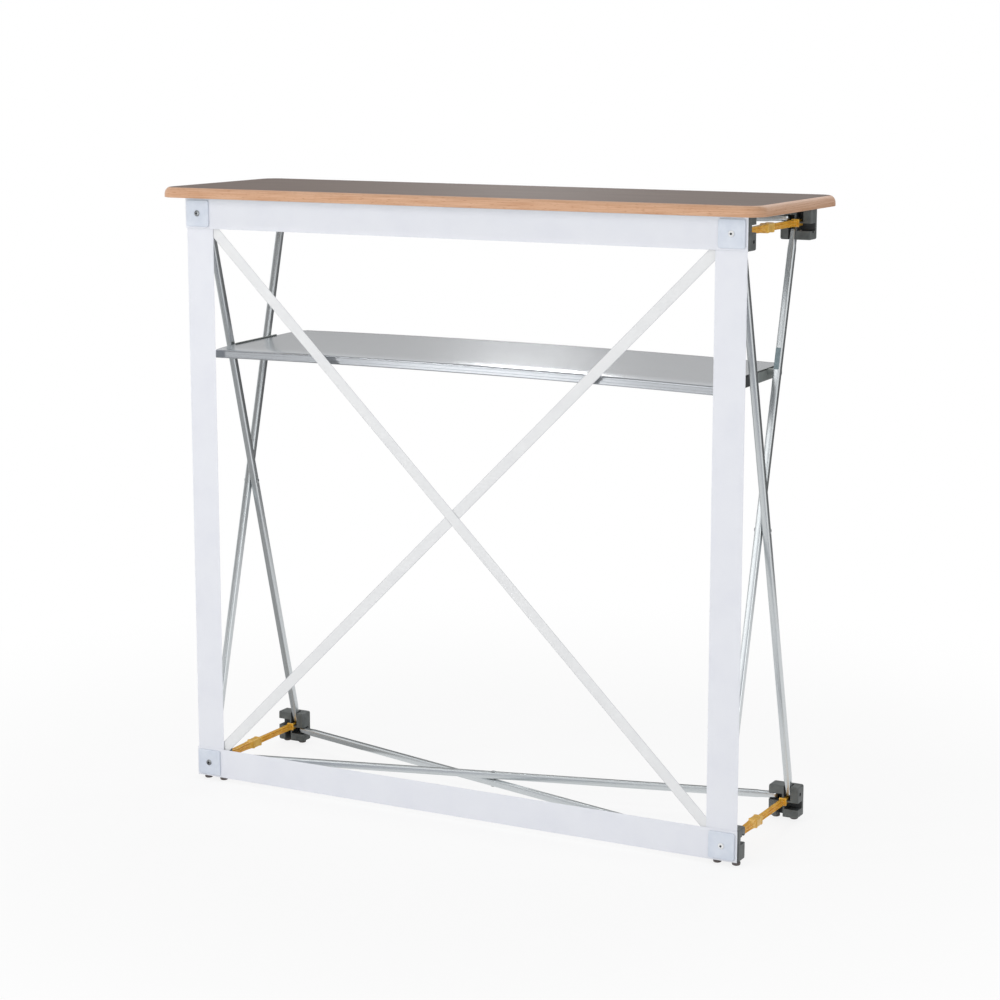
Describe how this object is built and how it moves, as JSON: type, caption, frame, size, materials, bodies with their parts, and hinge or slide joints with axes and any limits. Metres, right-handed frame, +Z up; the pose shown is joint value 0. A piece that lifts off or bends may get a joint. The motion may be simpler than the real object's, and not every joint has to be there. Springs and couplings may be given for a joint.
{
  "type": "folding portable bar",
  "caption": "Free-standing folding bar counter: scissor frame of aluminium bars on plastic hubs, strip-framed front with crossed straps, wood-edged top and a metal shelf.",
  "frame": {"origin": "middle of the footprint, on the floor", "axes": "+X along the bar to the customer's right, +Y from the front frame to the open back, +Z up"},
  "size_m": [0.998, 0.312, 0.948],
  "materials": {
    "hub_plastic": "moulded dark grey nylon",
    "aluminium": "satin anodised tube",
    "steel": "plated steel",
    "amber_plastic": "moulded amber nylon",
    "strip_tape": null,
    "plate_plastic": "moulded bluish white",
    "strap_webbing": "flat white webbing",
    "shelf_sheet": "silver sheet with a rolled rim",
    "tabletop_board": "beech edge with a laminated upper face"
  },
  "bodies": {
    "bottom_centre": {"rivet_bottom": "steel"},
    "front_left_bottom": {"hub_front_left_bottom": "hub_plastic", "side_pin_front_left_bottom": "steel", "level_pin_front_left_bottom": "steel", "arm_socket_left_bottom": "amber_plastic", "corner_plate_left_bottom": "plate_plastic", "corner_screw_left_bottom": "steel", "strip_bottom": "strip_tape", "strap_rising": "strap_webbing"},
    "front_left_top": {"hub_front_left_top": "hub_plastic", "side_pin_front_left_top": "steel", "level_pin_front_left_top": "steel", "arm_socket_left_top": "amber_plastic", "corner_plate_left_top": "plate_plastic", "corner_screw_left_top": "steel", "strip_top": "strip_tape", "strip_left": "strip_tape", "strap_falling": "strap_webbing"},
    "front_right_bottom": {"hub_front_right_bottom": "hub_plastic", "side_pin_front_right_bottom": "steel", "level_pin_front_right_bottom": "steel", "arm_socket_right_bottom": "amber_plastic", "corner_plate_right_bottom": "plate_plastic", "corner_screw_right_bottom": "steel", "strip_right": "strip_tape"},
    "front_right_top": {"hub_front_right_top": "hub_plastic", "side_pin_front_right_top": "steel", "level_pin_front_right_top": "steel", "arm_socket_right_top": "amber_plastic", "corner_plate_right_top": "plate_plastic", "corner_screw_right_top": "steel"},
    "back_left_bottom": {"hub_back_left_bottom": "hub_plastic", "side_pin_back_left_bottom": "steel", "level_pin_back_left_bottom": "steel", "arm_rod_left_bottom": "amber_plastic"},
    "back_left_top": {"hub_back_left_top": "hub_plastic", "side_pin_back_left_top": "steel", "level_pin_back_left_top": "steel", "arm_rod_left_top": "amber_plastic"},
    "back_right_bottom": {"hub_back_right_bottom": "hub_plastic", "side_pin_back_right_bottom": "steel", "level_pin_back_right_bottom": "steel", "arm_rod_right_bottom": "amber_plastic"},
    "back_right_top": {"hub_back_right_top": "hub_plastic", "side_pin_back_right_top": "steel", "level_pin_back_right_top": "steel", "arm_rod_right_top": "amber_plastic"},
    "left_bar_front_top": {"left_bar_front_top": "aluminium", "rivet_left": "steel"},
    "left_bar_back_top": {"left_bar_back_top": "aluminium"},
    "right_bar_front_top": {"right_bar_front_top": "aluminium", "rivet_right": "steel"},
    "right_bar_back_top": {"right_bar_back_top": "aluminium"},
    "bottom_bar_front_left": {"bottom_bar_front_left": "aluminium"},
    "bottom_bar_back_left": {"bottom_bar_back_left": "aluminium"},
    "top_bar_front_left": {"top_bar_front_left": "aluminium"},
    "top_bar_back_left": {"top_bar_back_left": "aluminium"},
    "top_centre": {"rivet_top": "steel"},
    "tabletop": {"tabletop": "tabletop_board"},
    "shelf": {"shelf": "shelf_sheet"}
  },
  "joints": [
    {"name": "fold", "type": "hinge", "parent": "bottom_centre", "child": "bottom_bar_back_left", "pos_m": [0, 0.00925, 0.03], "axis": [0, 0, -1], "range_deg": [0, 72], "deforming": ["strip_top", "strip_left", "strip_bottom", "strip_right", "strap_falling", "strap_rising"]},
    {"name": "bottom_cross", "type": "hinge", "parent": "bottom_centre", "child": "bottom_bar_front_left", "pos_m": [0, 0.00925, 0.03], "axis": [0, 0, 1], "range_deg": [0, 72]},
    {"name": "bottom_back_left_turn", "type": "hinge", "parent": "bottom_bar_back_left", "child": "back_left_bottom", "pos_m": [-0.42685, 0.1223, 0.03], "axis": [0, 0, 1], "range_deg": [0, 72]},
    {"name": "bottom_front_right_turn", "type": "hinge", "parent": "bottom_bar_back_left", "child": "front_right_bottom", "pos_m": [0.42685, -0.1038, 0.03], "axis": [0, 0, 1], "range_deg": [0, 72]},
    {"name": "bottom_front_left_turn", "type": "hinge", "parent": "bottom_bar_front_left", "child": "front_left_bottom", "pos_m": [-0.42685, -0.1038, 0.03], "axis": [0, 0, 1], "range_deg": [-72, 0]},
    {"name": "bottom_back_right_turn", "type": "hinge", "parent": "bottom_bar_front_left", "child": "back_right_bottom", "pos_m": [0.42685, 0.1223, 0.03], "axis": [0, 0, 1], "range_deg": [-72, 0]},
    {"name": "left_front_top_bar_lean", "type": "hinge", "parent": "back_left_bottom", "child": "left_bar_front_top", "pos_m": [-0.445, 0.1223, 0.042], "axis": [1, 0, 0], "range_deg": [0, 72]},
    {"name": "left_back_top_bar_lean", "type": "hinge", "parent": "front_left_bottom", "child": "left_bar_back_top", "pos_m": [-0.445, -0.1038, 0.042], "axis": [1, 0, 0], "range_deg": [-72, 0]},
    {"name": "front_left_top_level", "type": "hinge", "parent": "left_bar_front_top", "child": "front_left_top", "pos_m": [-0.445, -0.1038, 0.8957], "axis": [1, 0, 0], "range_deg": [-72, 0]},
    {"name": "back_left_top_level", "type": "hinge", "parent": "left_bar_back_top", "child": "back_left_top", "pos_m": [-0.445, 0.1223, 0.8957], "axis": [1, 0, 0], "range_deg": [0, 72]},
    {"name": "right_front_top_bar_lean", "type": "hinge", "parent": "back_right_bottom", "child": "right_bar_front_top", "pos_m": [0.445, 0.1223, 0.042], "axis": [1, 0, 0], "range_deg": [0, 72]},
    {"name": "right_back_top_bar_lean", "type": "hinge", "parent": "front_right_bottom", "child": "right_bar_back_top", "pos_m": [0.445, -0.1038, 0.042], "axis": [1, 0, 0], "range_deg": [-72, 0]},
    {"name": "front_right_top_level", "type": "hinge", "parent": "right_bar_front_top", "child": "front_right_top", "pos_m": [0.445, -0.1038, 0.8957], "axis": [1, 0, 0], "range_deg": [-72, 0]},
    {"name": "back_right_top_level", "type": "hinge", "parent": "right_bar_back_top", "child": "back_right_top", "pos_m": [0.445, 0.1223, 0.8957], "axis": [1, 0, 0], "range_deg": [0, 72]},
    {"name": "top_front_left_bar_swing", "type": "hinge", "parent": "front_left_top", "child": "top_bar_front_left", "pos_m": [-0.42685, -0.1038, 0.9077], "axis": [0, 0, 1], "range_deg": [0, 72]},
    {"name": "top_back_left_bar_swing", "type": "hinge", "parent": "back_left_top", "child": "top_bar_back_left", "pos_m": [-0.42685, 0.1223, 0.9077], "axis": [0, 0, 1], "range_deg": [-72, 0]},
    {"name": "top_rivet_turn", "type": "hinge", "parent": "top_bar_front_left", "child": "top_centre", "pos_m": [0, 0.00925, 0.9077], "axis": [0, 0, 1], "range_deg": [-72, 0]},
    {"name": "tabletop_lift", "type": "slide", "parent": "top_centre", "child": "tabletop", "axis": [0, 0, 1], "range_m": [0, 0.25]},
    {"name": "shelf_draw", "type": "slide", "parent": "bottom_centre", "child": "shelf", "axis": [0, 1, 0], "range_m": [0, 2.767]}
  ],
  "couplings": [
    {"joint": "bottom_cross", "follows": "fold", "ratio": 1},
    {"joint": "bottom_back_left_turn", "follows": "fold", "ratio": 1},
    {"joint": "bottom_front_right_turn", "follows": "fold", "ratio": 1},
    {"joint": "bottom_front_left_turn", "follows": "fold", "ratio": -1},
    {"joint": "bottom_back_right_turn", "follows": "fold", "ratio": -1},
    {"joint": "left_front_top_bar_lean", "follows": "fold", "ratio": 1},
    {"joint": "left_back_top_bar_lean", "follows": "fold", "ratio": -1},
    {"joint": "front_left_top_level", "follows": "fold", "ratio": -1},
    {"joint": "back_left_top_level", "follows": "fold", "ratio": 1},
    {"joint": "right_front_top_bar_lean", "follows": "fold", "ratio": 1},
    {"joint": "right_back_top_bar_lean", "follows": "fold", "ratio": -1},
    {"joint": "front_right_top_level", "follows": "fold", "ratio": -1},
    {"joint": "back_right_top_level", "follows": "fold", "ratio": 1},
    {"joint": "top_front_left_bar_swing", "follows": "fold", "ratio": 1},
    {"joint": "top_back_left_bar_swing", "follows": "fold", "ratio": -1},
    {"joint": "top_rivet_turn", "follows": "fold", "ratio": -1},
    {"joint": "shelf_draw", "follows": "fold", "m_per_rad": 2.2}
  ]
}
